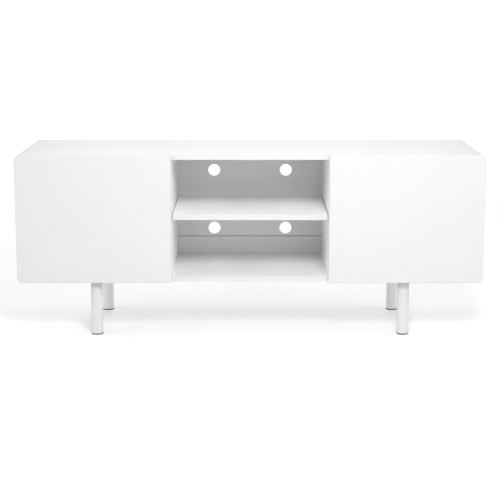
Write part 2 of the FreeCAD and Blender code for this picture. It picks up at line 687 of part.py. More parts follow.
def arm_master():
    """The arm, from its knuckle on the pivot out of the cup and along the side panel."""
    knuckle = cylinder("arm_knuckle", "knuckle", "knuckle_width", (PIVOT_X, PIVOT_Y, "-knuckle_width / 2"))
    foot = box("arm_foot", (ARM_X, PIVOT_Y + " - arm_thickness / 2", "-knuckle_width / 2"),
               ("board + plate_thickness + arm_thickness - pivot_side", "arm_thickness", "knuckle_width"))
    strip = box("arm_strip", (ARM_X, PIVOT_Y + " - arm_thickness / 2", "-knuckle_width / 2"),
                ("arm_thickness", PIVOT_BACK + " + arm_thickness / 2 + plate_front", "knuckle_width"))
    tail = box("arm_tail", (ARM_X, "plate_front", "-arm_width / 2"),
               ("arm_thickness", "plate_length", "arm_width"))
    pin_hole = cylinder("arm_pin_hole", "pivot_pin + 2 * running_play", "knuckle_width * 2",
                        (PIVOT_X, PIVOT_Y, "-knuckle_width"))
    screw_hole = cylinder("arm_screw_hole", "screw", "arm_thickness", (ARM_X, "arm_screw_row", "0"), ALONG_X)
    return cut("arm_whole", fused("arm_solid", knuckle, foot, strip, tail),
               together("arm_cuts", [pin_hole, screw_hole]))


def hinge_plate_master():
    """The plate under the arm, screwed to the inner face of the side panel."""
    face = "-(board + plate_thickness)"
    plate = box("plate_block", (face, "plate_front", "-plate_height / 2"),
                ("plate_thickness", "plate_length", "plate_height"))
    holes = [cylinder("plate_hole_" + side, "screw", "plate_thickness",
                      (face, "plate_screw_row", sign + "plate_screw_spacing / 2"), ALONG_X)
             for side, sign in (("high", ""), ("low", "-"))]
    holes.append(cylinder("plate_hole_middle", "screw", "plate_thickness",
                          (face, "arm_screw_row", "0"), ALONG_X))
    return cut("plate_whole", plate, together("plate_cuts", holes))


pivot_pin = cylinder("pivot_pin_rod", "pivot_pin", "pivot_pin_length",
                     (PIVOT_X, PIVOT_Y, "-pivot_pin_length / 2"))
for label, master in (("hinge_cups", cup_master()), ("hinge_pins", pivot_pin),
                      ("hinge_arms", arm_master()), ("hinge_plates", hinge_plate_master())):
    right_set = scattered(label + "_set", master, HINGE_PLACES)
    keep(right_set, "right_" + label)
    keep(mirrored(label + "_set_left", right_set), "left_" + label)


# ---------------------------------------------------------------- push latches

def latch_body():
    """A plastic housing on the divider, with a screw ear above and below its bore."""
    housing = box("latch_housing", (DIVIDER_FACE, LATCH_FRONT, LATCH_Z + " - latch_side / 2"),
                  ("latch_side", "latch_length", "latch_side"))
    ear_plate = box("latch_ears", (DIVIDER_FACE, LATCH_FRONT + " + latch_length / 2 - latch_ear / 2",
                                   LATCH_Z + " - latch_side / 2 - latch_ear"),
                    ("latch_ear_thickness", "latch_ear", "latch_side + 2 * latch_ear"))
    channel = cylinder("latch_channel", "plunger + 2 * running_play", "plunger_length + latch_setback",
                       (LATCH_X, LATCH_FRONT, LATCH_Z), ALONG_Y)
    holes = scattered("latch_holes", screw_pilot, LATCH_SCREW_PLACES)
    return cut("latch_whole", fused("latch_solid", housing, ear_plate),
               together("latch_cuts", [channel, holes]))


right_latch = latch_body()
keep(right_latch, "right_latch_body")
keep(mirrored("latch_left", right_latch), "left_latch_body")
right_plunger = cylinder("plunger_rod", "plunger", "plunger_length",
                         (LATCH_X, DOOR_BACK + " + strike_thickness + plunger_gap", LATCH_Z), ALONG_Y)
keep(right_plunger, "right_latch_plunger")
keep(mirrored("plunger_left", right_plunger), "left_latch_plunger")


# ---------------------------------------------------------------- checks and export

document.recompute()
for thing in document.Objects:
    if "Invalid" in thing.State or "Error" in thing.State:
        raise RuntimeError("%s was not built: %s" % (thing.Name, thing.State))

os.makedirs("parts", exist_ok=True)
for thing in subparts:
    shape = Part.getShape(thing)
    if shape.isNull() or not shape.isValid() or not shape.Solids:
        raise RuntimeError("%s has no valid solid" % thing.Label)
for thing in subparts:
    Part.getShape(thing).exportStep("parts/%s.step" % thing.Label)
    print("%-22s %3d solids  %12.1f mm3" % (thing.Label, len(thing.Shape.Solids), thing.Shape.Volume))
print(len(subparts), "sub-parts")
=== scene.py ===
import json
import math
import random

import bmesh
import bpy
from mathutils import Matrix, Vector


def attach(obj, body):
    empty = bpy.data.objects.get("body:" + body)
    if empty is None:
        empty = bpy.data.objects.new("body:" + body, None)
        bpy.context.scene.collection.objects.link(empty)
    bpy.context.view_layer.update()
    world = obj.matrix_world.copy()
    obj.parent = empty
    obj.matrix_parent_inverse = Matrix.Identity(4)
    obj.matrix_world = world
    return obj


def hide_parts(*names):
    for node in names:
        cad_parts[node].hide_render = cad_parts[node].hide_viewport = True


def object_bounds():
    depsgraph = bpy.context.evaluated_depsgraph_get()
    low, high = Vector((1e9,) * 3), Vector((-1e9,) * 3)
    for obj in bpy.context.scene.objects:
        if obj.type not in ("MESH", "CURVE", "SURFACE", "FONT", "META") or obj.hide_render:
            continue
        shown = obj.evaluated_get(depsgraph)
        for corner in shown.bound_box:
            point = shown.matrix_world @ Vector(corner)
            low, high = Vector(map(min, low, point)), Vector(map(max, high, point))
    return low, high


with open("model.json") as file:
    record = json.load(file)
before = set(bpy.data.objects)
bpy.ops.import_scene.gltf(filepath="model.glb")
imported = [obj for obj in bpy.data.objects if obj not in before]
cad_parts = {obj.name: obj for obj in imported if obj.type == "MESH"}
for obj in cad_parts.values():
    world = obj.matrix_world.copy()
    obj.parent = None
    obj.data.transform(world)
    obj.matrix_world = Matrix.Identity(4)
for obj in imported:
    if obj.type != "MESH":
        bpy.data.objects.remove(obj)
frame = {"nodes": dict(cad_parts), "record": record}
cad_low, cad_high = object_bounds()
cad_body = {name: body for body, names in frame["record"]["behaviour"]["bodies"].items()
            for name in names}

# A white television stand on a pale studio floor. Every length is in metres, in the frame's
# own axes: +X to the right as one faces the doors, +Y to the back, +Z up.

# Colours. The stand is probably one white throughout. The inner, lower and rear tints are
# lighter only to make up for light that this studio doesn't bring into the bay or under it.
WHITE_LACQUER = (0.547, 0.547, 0.544)
INNER_LACQUER_PAINTED_LIGHT = (0.95, 0.95, 0.945)
LOWER_LACQUER_PAINTED_LIGHT = (0.75, 0.75, 0.746)
LEG_WHITE = (0.555, 0.555, 0.551)
REAR_LEG_PAINTED_LIGHT_WHITE = (0.76, 0.76, 0.755)
# The grain's darker tone. In the open pores it is painted shadow.
GRAIN_TONE_AND_PORE_SHADOW = (0.50, 0.495, 0.485)
# Core grey at the shelves' ends. In the back boards' V-grooves it is core grey darkened further as
# painted shadow.
CORE_GREY_AND_GROOVE_SHADOW = (0.28, 0.272, 0.258)
FOIL_WHITE = (0.79, 0.79, 0.79)
FIBRE_SHADE = (0.62, 0.615, 0.605)
BEECH = (0.66, 0.47, 0.29)
BEECH_FLECK = (0.36, 0.22, 0.12)
ZINC = (0.58, 0.59, 0.61)
NICKEL = (0.66, 0.64, 0.61)
STEEL = (0.55, 0.56, 0.58)
LATCH_WHITE = (0.72, 0.72, 0.71)
PLUNGER_GREY = (0.22, 0.22, 0.23)
# Darker than the glides' own black plastic: partly painted contact shadow under the feet.
GLIDE_BLACK_AND_FOOT_SHADOW = (0.022, 0.022, 0.024)
FLOOR_LIGHT = (0.63, 0.63, 0.63)
FLOOR_DARK = (0.61, 0.61, 0.61)

# The veneer's pattern: where a leaf's heart lies, how far its rings sway and slant, and how
# much each feature darkens the lacquer. The darkening in the open pores is painted shadow.
LEAF_HEART = 0.52
SWAY_ACROSS = 0.05
SWAY_ALONG = 0.35
ARCH_START = 0.1
ARCH_SLANT = 0.09
RING_SHADE = 0.055
STREAK_SHADE = 0.065
OPEN_PORE_PAINTED_SHADOW = 0.26
CLOUD_SHADE = 0.06

# Screws: the thread as shares of the shank's radius, the head and its recess as shares of the
# head's radius or height, how thin the recess's blades are, and one head's height in metres.
THREAD_ROOT = 0.72
THREAD_PITCH = 0.8
SCREW_NECK = 0.85
HEAD_FLAT = 0.35
HEAD_RIM = 0.25
RECESS_DEPTH = 1.6
RECESS_TIP = 0.28
RECESS_MOUTH = 0.80
BLADE_THINNESS = 0.26
SCREW_HEAD_HEIGHT = 0.0016

# Hinge arms: the whole and the wide length from the back end, the adjusting screw's distance
# from the wide part's front, the narrow part's height, and the folded walls. The walls are
# inset, because a Boolean breaks where a wall's face lies in a face of the strip.
ARM_LENGTH = 0.056
ARM_TAIL = 0.038
ARM_SCREW_INSET = 0.010
ARM_NARROW = 0.008
ARM_SHEET = 0.0012
ARM_WALL = 0.0038
ARM_INSET = 0.0001
ARM_ROUNDING = 0.0002

# Latches: the case, the collar's two diameters, the ribs, and the plunger, whose groove is
# placed from its tip and whose dish is in shares of its radius.
CASE_ROUNDING = 0.0010
COLLAR_INSIDE = 0.0086
COLLAR_OUTSIDE = 0.0126
COLLAR_RISE = 0.0012
RIB_RISE = 0.0005
RIB_WIDTH = 0.0014
RIB_SPACING = 0.0045
RIB_INSET = 0.006
GROOVE_MOUTH = (0.0052, 0.0038)
GROOVE_FLOOR = (0.0048, 0.0042)
GROOVE_DEPTH = 0.0006
TIP_ROUNDING = 0.0006
DISH_DEPTH = 0.0005
DISH_MOUTH = 0.6
DISH_FLOOR = 0.55

# Meshes: the angles and distances that count as sharp, flat or the same place, and how finely
# curves are cut.
SAME_CAD_PLACE = 1e-6
SAME_RING_PLACE = 1e-7
SHARP_EDGE = math.radians(32)
FLAT_FACE = math.radians(0.5)
BEVEL_STEPS = 2
SCREW_STEPS = 24
ROUND_STEPS = 40

# The studio. The floor fades out between two distances from the stand.
FLOOR_FADE = (1.5, 3.2)
FLOOR_REACH = 30.0
FLOOR_GLOW = 0.23
BACKDROP_GLOW = 1.05
CAMERA_DISTANCE = 3.721
CAMERA_RISE = 0.518
CAMERA_TILT = 8.86
CAMERA_LENS = 85.4
CAMERA_SENSOR = 36.0
CAMERA_SHIFT = -0.15

dice = random.Random(11)


# ------------------------------------------------------------------ node helpers

def new_material(name):
    """A material with an empty node tree."""
    material = bpy.data.materials.new(name)
    material.use_nodes = True
    material.node_tree.nodes.clear()
    return material


def node(tree, kind, inputs=None, **settings):
    """A node with its settings, and with inputs that are values or other nodes' sockets."""
    made = tree.nodes.new(kind)
    for key, value in settings.items():
        setattr(made, key, value)
    for key, value in (inputs or {}).items():
        if isinstance(value, bpy.types.NodeSocket):
            tree.links.new(value, made.inputs[key])
        else:
            made.inputs[key].default_value = value
    return made


def calc(tree, operation, *values):
    """The result of a Math node."""
    made = node(tree, "ShaderNodeMath", dict(enumerate(values)), operation=operation)
    return made.outputs[0]


def noise(tree, vector, scale, detail, roughness=0.5):
    """Smooth noise, 0 to 1."""
    made = node(tree, "ShaderNodeTexNoise", {
        "Vector": vector, "Scale": scale, "Detail": detail, "Roughness": roughness})
    return made.outputs["Fac"]


def smooth(tree, value, low, high):
    """value, eased from 0 at low to 1 at high."""
    made = node(tree, "ShaderNodeMapRange", {"Value": value, "From Min": low, "From Max": high},
                interpolation_type="SMOOTHSTEP")
    return made.outputs["Result"]


def blended(tree, factor, first, second):
    """A colour between first and second, which are colours or sockets."""
    made = node(tree, "ShaderNodeMix", data_type="RGBA")
    for number, value in ((0, factor), (6, first), (7, second)):
        socket = made.inputs[number]
        if isinstance(value, bpy.types.NodeSocket):
            tree.links.new(value, socket)
        else:
            socket.default_value = (*value, 1.0)
    return made.outputs[2]


def finish_surface(tree, inputs, relief, depth, strength):
    """The Principled shader with a bump from relief, and the output node."""
    bump = node(tree, "ShaderNodeBump", {"Height": relief, "Strength": strength, "Distance": depth})
    shader = node(tree, "ShaderNodeBsdfPrincipled", {**inputs, "Normal": bump.outputs["Normal"]})
    node(tree, "ShaderNodeOutputMaterial", {"Surface": shader.outputs["BSDF"]})


def object_place(tree):
    """The shaded point in the object's own axes."""
    return node(tree, "ShaderNodeTexCoord").outputs["Object"]


def facing(tree, axis):
    """How far a face looks along an axis of the object, -1 to 1."""
    normal = node(tree, "ShaderNodeTexCoord").outputs["Normal"]
    return node(tree, "ShaderNodeSeparateXYZ", {"Vector": normal}).outputs[axis]


def edge_banded(tree):
    """1 on the faces that look to the front or back, where the boards have an edge band."""
    return smooth(tree, calc(tree, "ABSOLUTE", facing(tree, "Y")), 0.2, 0.8)


def darker(tint, share):
    """A share of a colour."""
    return tuple(channel * share for channel in tint)


# ------------------------------------------------------------------ materials

def lacquered_veneer(name, along, across, offset, tint=WHITE_LACQUER, leaf=0.150,
                     spacing=0.0085, ends=None):
    """White open-pore lacquer over ash veneer, with its grain along one axis.

    The leaves of veneer are book-matched: the pattern is mirrored at each joint. In each
    leaf the growth rings are cut at a slant, which draws them as tall pointed arches.
    """
    material = new_material(name)
    tree = material.node_tree
    split = node(tree, "ShaderNodeSeparateXYZ", {"Vector": object_place(tree)})
    through = ({"X", "Y", "Z"} - {along, across}).pop()
    length = split.outputs[along]
    width = calc(tree, "ADD", split.outputs[across], offset)
    depth = split.outputs[through]

    def grain_noise(across_scale, along_scale, seed, detail, roughness=0.5):
        """Noise that is squeezed across the grain and drawn out along it."""
        stretched = node(tree, "ShaderNodeCombineXYZ", {
            "X": calc(tree, "MULTIPLY", width, across_scale),
            "Y": calc(tree, "MULTIPLY_ADD", depth, across_scale, seed),
            "Z": calc(tree, "MULTIPLY", length, along_scale)})
        return noise(tree, stretched.outputs["Vector"], 1.0, detail, roughness)

    sway = calc(tree, "SUBTRACT", grain_noise(9.0, 1.6, offset, 2.0), 0.5)
    swayed_width = calc(tree, "MULTIPLY_ADD", sway, SWAY_ACROSS, width)
    leaf_place = calc(tree, "PINGPONG", swayed_width, leaf)
    from_heart = calc(tree, "SUBTRACT", leaf_place, leaf * LEAF_HEART)
    along_sway = calc(tree, "MULTIPLY_ADD", sway, SWAY_ALONG, ARCH_START)
    slant = calc(tree, "MULTIPLY", calc(tree, "ADD", length, along_sway), ARCH_SLANT)
    squares = calc(tree, "ADD", calc(tree, "MULTIPLY", from_heart, from_heart),
                   calc(tree, "MULTIPLY", slant, slant))
    ring_radius = calc(tree, "SQRT", squares)
    ring = calc(tree, "FRACT", calc(tree, "DIVIDE", ring_radius, spacing))
    early = calc(tree, "MULTIPLY", smooth(tree, ring, 0.0, 0.12), smooth(tree, ring, 0.62, 0.2))

    streak = smooth(tree, grain_noise(170.0, 3.0, 2.0 + offset, 3.0, 0.6), 0.42, 0.68)
    pores = smooth(tree, grain_noise(1500.0, 95.0, 5.0 + offset, 2.0), 0.58, 0.66)
    open_pores = calc(tree, "MULTIPLY", pores, calc(tree, "MULTIPLY_ADD", early, 0.75, 0.25))
    cloud = grain_noise(5.0, 2.0, 9.0 + offset, 2.0)

    # Painted shadow in the open pores, then the grain's own darker rings, streaks and clouding.
    shade = calc(tree, "MULTIPLY", open_pores, OPEN_PORE_PAINTED_SHADOW)
    shade = calc(tree, "MULTIPLY_ADD", streak, STREAK_SHADE, shade)
    shade = calc(tree, "MULTIPLY_ADD", early, RING_SHADE, shade)
    clouding = calc(tree, "MULTIPLY_ADD", cloud, CLOUD_SHADE, -CLOUD_SHADE / 2)
    shade = calc(tree, "MAXIMUM", calc(tree, "ADD", shade, clouding), 0.0)
    # The bay's boards and the bottom panel take a lighter tint on their faces. It is painted light
    # against the shade in the bay and under the stand; their front and back edges keep the plain
    # white.
    face = tint
    if tint in (INNER_LACQUER_PAINTED_LIGHT, LOWER_LACQUER_PAINTED_LIGHT):
        face = blended(tree, edge_banded(tree), tint, WHITE_LACQUER)
    colour = blended(tree, shade, face, GRAIN_TONE_AND_PORE_SHADOW)
    if ends:
        end_on = smooth(tree, calc(tree, "ABSOLUTE", facing(tree, along)), 0.7, 0.9)
        colour = blended(tree, end_on, colour, ends)

    roughness = calc(tree, "MULTIPLY_ADD", open_pores, 0.20,
                     calc(tree, "MULTIPLY_ADD", cloud, 0.10, 0.36))
    hollow = calc(tree, "MULTIPLY_ADD", early, 0.25, calc(tree, "MULTIPLY", open_pores, 0.75))
    finish_surface(tree, {"Base Color": colour, "Roughness": roughness, "Coat Weight": 0.12,
                          "Coat Roughness": 0.30},
                   relief=calc(tree, "SUBTRACT", 1.0, hollow), depth=0.00022, strength=0.6)
    return material


def foil_board(name):
    """Thin hardboard faced with matt white paper foil, slightly mottled, dark in its grooves."""
    material = new_material(name)
    tree = material.node_tree
    place = object_place(tree)
    cloud = noise(tree, place, 7.0, 3.0)
    fibre = noise(tree, place, 900.0, 4.0, 0.6)
    shade = calc(tree, "MULTIPLY_ADD", fibre, 0.10, calc(tree, "MULTIPLY", cloud, 0.10))
    sideways = calc(tree, "ABSOLUTE", facing(tree, "Y"))
    grooved = calc(tree, "MULTIPLY", smooth(tree, sideways, 0.05, 0.3),
                   smooth(tree, sideways, 0.99, 0.93))
    colour = blended(tree, shade, FOIL_WHITE, FIBRE_SHADE)
    # The V-grooves' slanted faces show the core, darkened further as painted shadow in the groove.
    colour = blended(tree, grooved, colour, CORE_GREY_AND_GROOVE_SHADOW)
    roughness = calc(tree, "MULTIPLY_ADD", fibre, 0.12, 0.55)
    finish_surface(tree, {"Base Color": colour, "Roughness": roughness},
                   relief=fibre, depth=0.00005, strength=0.5)
    return material


def metal(name, tint, rough, grain):
    """Plated metal with fine wear, the finer the higher its grain."""
    material = new_material(name)
    tree = material.node_tree
    place = object_place(tree)
    marks = noise(tree, place, grain, 4.0, 0.6)
    cloud = noise(tree, place, grain / 12, 2.0)
    colour = blended(tree, cloud, tint, darker(tint, 0.82))
    roughness = calc(tree, "MULTIPLY_ADD", marks, 0.16,
                     calc(tree, "MULTIPLY_ADD", cloud, 0.10, rough))
    finish_surface(tree, {"Base Color": colour, "Metallic": 1.0, "Roughness": roughness},
                   relief=marks, depth=0.00003, strength=0.6)
    return material


def moulded_plastic(name, tint, rough, gloss=0.5):
    """Moulded plastic with a fine spark-eroded skin."""
    material = new_material(name)
    tree = material.node_tree
    place = object_place(tree)
    skin = noise(tree, place, 1400.0, 3.0, 0.6)
    cloud = noise(tree, place, 60.0, 2.0)
    colour = blended(tree, cloud, tint, darker(tint, 0.88))
    roughness = calc(tree, "MULTIPLY_ADD", skin, 0.15, rough)
    finish_surface(tree, {"Base Color": colour, "Roughness": roughness,
                          "Specular IOR Level": gloss},
                   relief=skin, depth=0.00006, strength=0.7)
    return material


def raw_beech(name):
    """Bare beech with the short dark flecks of its rays."""
    material = new_material(name)
    tree = material.node_tree
    drawn_out = node(tree, "ShaderNodeVectorMath", {0: object_place(tree), 1: (1.0, 1.0, 0.12)},
                     operation="MULTIPLY").outputs["Vector"]
    fleck = smooth(tree, noise(tree, drawn_out, 1500.0, 2.0), 0.60, 0.70)
    band = noise(tree, drawn_out, 240.0, 3.0)
    shade = calc(tree, "MULTIPLY_ADD", fleck, 0.5, calc(tree, "MULTIPLY", band, 0.4))
    colour = blended(tree, shade, BEECH, BEECH_FLECK)
    roughness = calc(tree, "MULTIPLY_ADD", band, 0.2, 0.5)
    finish_surface(tree, {"Base Color": colour, "Roughness": roughness},
                   relief=fleck, depth=0.00005, strength=0.5)
    return material


def floor_material():
    """A bright floor that fades out into the white backdrop well away from the stand.

    It is see-through from below, so that the underside shows.
    """
    material = new_material("studio_floor")
    tree = material.node_tree
    place = object_place(tree)
    cloud = noise(tree, place, 0.8, 2.0)
    surface = node(tree, "ShaderNodeBsdfPrincipled", {
        "Base Color": blended(tree, cloud, FLOOR_LIGHT, FLOOR_DARK), "Roughness": 0.7,
        "Emission Color": (1.0, 1.0, 1.0, 1.0), "Emission Strength": FLOOR_GLOW})
    clear = node(tree, "ShaderNodeBsdfTransparent")
    below = node(tree, "ShaderNodeNewGeometry").outputs["Backfacing"]
    away = node(tree, "ShaderNodeVectorMath", {0: place}, operation="LENGTH").outputs["Value"]
    hidden = calc(tree, "MAXIMUM", below, smooth(tree, away, *FLOOR_FADE))
    mixed = node(tree, "ShaderNodeMixShader",
                 {0: hidden, 1: surface.outputs[0], 2: clear.outputs[0]})
    node(tree, "ShaderNodeOutputMaterial", {"Surface": mixed.outputs[0]})
    return material


# ------------------------------------------------------------------ mesh helpers

def finished_mesh(bm, name):
    """The mesh of bm, smooth-shaded but for its sharp edges."""
    mesh = bpy.data.meshes.new(name)
    bm.to_mesh(mesh)
    bm.free()
    mesh.shade_smooth()
    mesh.set_sharp_from_angle(angle=SHARP_EDGE)
    return mesh


def lathe(outline, steps):
    """A solid of revolution about Z. The outline is (radius, height) points.

    A solid's outline runs from axis to axis, and a ring's ends where it starts.
    """
    bm = bmesh.new()
    rings = []
    for radius, height in outline:
        turns = [math.tau * step / steps for step in range(steps)] if radius else [0.0]
        rings.append([bm.verts.new((radius * math.cos(turn), radius * math.sin(turn), height))
                      for turn in turns])
    for lower, upper in zip(rings, rings[1:]):
        for step in range(steps):
            after = (step + 1) % steps
            corners = (lower[step % len(lower)], lower[after % len(lower)],
                       upper[after % len(upper)], upper[step % len(upper)])
            bm.faces.new(list(dict.fromkeys(corners)))
    return bm


def block(bm, low, high):
    """Add a box between two corners to bm."""
    size = Vector(high) - Vector(low)
    middle = (Vector(high) + Vector(low)) / 2
    bmesh.ops.create_cube(bm, matrix=Matrix.Translation(middle) @ Matrix.Diagonal((*size, 1.0)))


def round_edges(bm, width):
    """Round over every sharp edge of bm."""
    sharp = [edge for edge in bm.edges
             if len(edge.link_faces) == 2 and edge.calc_face_angle() > SHARP_EDGE]
    bmesh.ops.bevel(bm, geom=sharp, offset=width, segments=BEVEL_STEPS, profile=0.5,
                    affect="EDGES", clamp_overlap=True)


def cad_copy(cad_name):
    """A CAD node's mesh with its triangles merged back into flat faces."""
    bm = bmesh.new()
    bm.from_mesh(frame["nodes"][cad_name].data)
    bmesh.ops.remove_doubles(bm, verts=bm.verts, dist=SAME_CAD_PLACE)
    bmesh.ops.dissolve_limit(bm, angle_limit=FLAT_FACE, verts=bm.verts, edges=bm.edges)
    return bm


def combined(mesh, others, operation):
    """The mesh with closed meshes taken out of it (DIFFERENCE) or fused to it (UNION)."""
    collection = bpy.context.scene.collection
    whole = bpy.data.objects.new("whole", mesh)
    tools = [bpy.data.objects.new("tool", other) for other in others]
    for thing in (whole, *tools):
        collection.objects.link(thing)
    for tool in tools:
        modifier = whole.modifiers.new("combine", "BOOLEAN")
        modifier.operation = operation
        modifier.object = tool
    shown = whole.evaluated_get(bpy.context.evaluated_depsgraph_get())
    result = bpy.data.meshes.new_from_object(shown)
    for thing in (whole, *tools):
        bpy.data.objects.remove(thing)
    return result


def places_box(places):
    """The lowest and highest corner of the box round some places."""
    low = Vector([min(place[axis] for place in places) for axis in range(3)])
    high = Vector([max(place[axis] for place in places) for axis in range(3)])
    return low, high


def islands(cad_name):
    """The corner places of each separate solid in a CAD node."""
    bm = cad_copy(cad_name)
    left = set(bm.verts)
    found = []
    while left:
        frontier = [left.pop()]
        island = list(frontier)
        while frontier:
            vertex = frontier.pop()
            for edge in vertex.link_edges:
                other = edge.other_vert(vertex)
                if other in left:
                    left.remove(other)
                    frontier.append(other)
                    island.append(other)
        found.append([vertex.co.copy() for vertex in island])
    bm.free()
    return sorted(found, key=lambda places: tuple(places_box(places)[0]))


def gather(name, parts):
    """One mesh from (mesh, matrix) pairs."""
    bm = bmesh.new()
    for mesh, matrix in parts:
        moved = mesh.copy()
        moved.transform(matrix)
        bm.from_mesh(moved)
        bpy.data.meshes.remove(moved)
    return finished_mesh(bm, name)


def turned_to(direction):
    """The rotation that takes +Z to a direction."""
    return direction.to_track_quat("Z", "Y").to_matrix().to_4x4()


def facing_front(place):
    """The matrix that takes a piece turned about Z to a place, with its +Z to the front."""
    return Matrix.Translation(place) @ Matrix.Rotation(math.pi / 2, 4, "X")


# ------------------------------------------------------------------ pieces

def dress(names, material):
    """Give CAD nodes a material and leave their meshes alone."""
    for name in names:
        slots = frame["nodes"][name].data.materials
        slots.clear()
        slots.append(material)


def stand_in(mesh, material, cad_name):
    """Put a finished mesh in a CAD node's place, on its body and with its slot."""
    piece = bpy.data.objects.new(cad_name + "_detail", mesh)
    bpy.context.scene.collection.objects.link(piece)
    mesh.materials.clear()
    mesh.materials.append(material)
    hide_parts(cad_name)
    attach(piece, cad_body[cad_name])


def soften(names, width, material):
    """Replace CAD nodes with copies whose edges are rounded, as pressed or moulded pieces are."""
    for name in names:
        bm = cad_copy(name)
        round_edges(bm, width)
        stand_in(finished_mesh(bm, name + "_detail"), material, name)


def screw_mesh(head_radius, head_height, shank_radius, length):
    """A pan-head screw with a cross recess, its head to +Z and the head's underside at 0."""
    root = THREAD_ROOT * shank_radius
    pitch = THREAD_PITCH * shank_radius
    neck = SCREW_NECK * shank_radius
    outline = [(0.0, -length), (0.3 * root, -length + 0.2 * pitch)]
    for turn in range(int((length - 2 * pitch) / pitch)):
        crest = -length + pitch * (turn + 1.5)
        outline += [(root, crest - pitch / 2), (shank_radius, crest)]
    outline += [(root, -pitch), (neck, -0.6 * pitch), (neck, 0.0)]
    outline += [(head_radius, 0.0), (head_radius, HEAD_RIM * head_height)]
    for angle in (25, 50, 70):
        reach = math.cos(math.radians(angle))
        lift = math.sin(math.radians(angle))
        outline.append((head_radius * (HEAD_FLAT + (1 - HEAD_FLAT) * reach),
                        head_height * (HEAD_RIM + (1 - HEAD_RIM) * lift)))
    outline.append((0.0, head_height))
    blank = finished_mesh(lathe(outline, SCREW_STEPS), "screw_blank")
    blades = []
    for turn in (0.0, math.pi / 2):
        blade = bmesh.new()
        bmesh.ops.create_cone(blade, cap_ends=True, segments=4, depth=RECESS_DEPTH * head_height,
                              radius1=RECESS_TIP * head_radius, radius2=RECESS_MOUTH * head_radius)
        blade.transform(Matrix.Rotation(turn, 4, "Z")
                        @ Matrix.Diagonal((1.0, BLADE_THINNESS, 1.0, 1.0))
                        @ Matrix.Rotation(math.pi / 4, 4, "Z"))
        blade.transform(Matrix.Translation((0.0, 0.0, head_height)))
        blades.append(finished_mesh(blade, "screw_blade"))
    return combined(blank, blades, "DIFFERENCE")


def screw_places(cad_name):
    """For each screw of a CAD node, the matrix that takes the screw mesh to it."""
    for places in islands(cad_name):
        low, high = places_box(places)
        middle = (low + high) / 2
        size = high - low
        axis = max(range(3), key=lambda number: size[number])

        def reach(place):
            """A place's distance from the screw's axis."""
            off = place - middle
            off[axis] = 0.0
            return off.length

        widest = max(reach(place) for place in places)
        rim = [place[axis] for place in places if reach(place) > 0.95 * widest]
        outward = Vector((0.0, 0.0, 0.0))
        outward[axis] = math.copysign(1.0, sum(rim) / len(rim) - middle[axis])
        seat = middle + outward * (size[axis] / 2 - SCREW_HEAD_HEIGHT)
        spin = Matrix.Rotation(dice.uniform(0.0, math.pi), 4, "Z")
        yield Matrix.Translation(seat) @ turned_to(outward) @ spin


def screw_set(cad_name, screw, material):
    """Put a copy of a screw mesh in the place of each screw of a CAD node."""
    parts = [(screw, matrix) for matrix in screw_places(cad_name)]
    stand_in(gather(cad_name + "_detail", parts), material, cad_name)


def hinge_arms(cad_name, screw, material):
    """The pressed arms: the CAD strip with folded side walls and an adjusting screw added."""
    walls = []
    screws = []
    for places in islands(cad_name):
        low, high = places_box(places)
        side = math.copysign(1.0, low.x)
        inner = min(abs(low.x), abs(high.x))
        level = (low.z + high.z) / 2
        for start, end, half in ((high.y - ARM_LENGTH, high.y - ARM_TAIL, ARM_NARROW / 2),
                                 (high.y - ARM_TAIL, high.y, (high.z - low.z) / 2)):
            for outside in (-1, 1):
                edge = level + outside * (half - ARM_INSET)
                rows = sorted((edge, edge - outside * ARM_SHEET))
                depth = sorted((side * (inner + ARM_SHEET), side * (inner - ARM_WALL)))
                wall = bmesh.new()
                block(wall, (depth[0], start + ARM_INSET, rows[0]),
                      (depth[1], end - ARM_INSET, rows[1]))
                walls.append(finished_mesh(wall, "wall"))
        seat = Vector((side * inner, high.y - ARM_TAIL + ARM_SCREW_INSET, level))
        inward = Vector((-side, 0.0, 0.0))
        screws.append((screw, Matrix.Translation(seat) @ turned_to(inward)))
    arms = bmesh.new()
    arms.from_mesh(combined(finished_mesh(cad_copy(cad_name), "strips"), walls, "UNION"))
    round_edges(arms, ARM_ROUNDING)
    parts = [(finished_mesh(arms, "arms"), Matrix.Identity(4)), *screws]
    stand_in(gather(cad_name + "_detail", parts), material, cad_name)


def latch_housing(cad_name, material):
    """The moulded latch case: the CAD case with a collar round the plunger and ribs on its side."""
    case = cad_copy(cad_name)
    low, high = places_box([vertex.co for vertex in case.verts])
    middle = (low + high) / 2
    round_edges(case, CASE_ROUNDING)

    inner, outer, rise, ease = COLLAR_INSIDE / 2, COLLAR_OUTSIDE / 2, COLLAR_RISE, COLLAR_RISE / 3
    collar = lathe([(inner, 0.0), (outer, 0.0), (outer, rise - ease), (outer - ease, rise),
                    (inner + ease, rise), (inner, rise - ease), (inner, 0.0)], ROUND_STEPS)
    bmesh.ops.remove_doubles(collar, verts=collar.verts, dist=SAME_RING_PLACE)

    side = math.copysign(1.0, middle.x)
    face = max(abs(low.x), abs(high.x))
    across = sorted((side * (face - RIB_RISE), side * (face + RIB_RISE)))
    ribs = bmesh.new()
    for level in (-RIB_SPACING, 0.0, RIB_SPACING):
        block(ribs, (across[0], low.y + RIB_INSET, middle.z + level - RIB_WIDTH / 2),
              (across[1], high.y - RIB_INSET, middle.z + level + RIB_WIDTH / 2))
    round_edges(ribs, RIB_RISE / 2)
    parts = [(finished_mesh(case, "case"), Matrix.Identity(4)),
             (finished_mesh(ribs, "ribs"), Matrix.Identity(4)),
             (finished_mesh(collar, "collar"), facing_front((middle.x, low.y, middle.z)))]
    stand_in(gather(cad_name + "_detail", parts), material, cad_name)


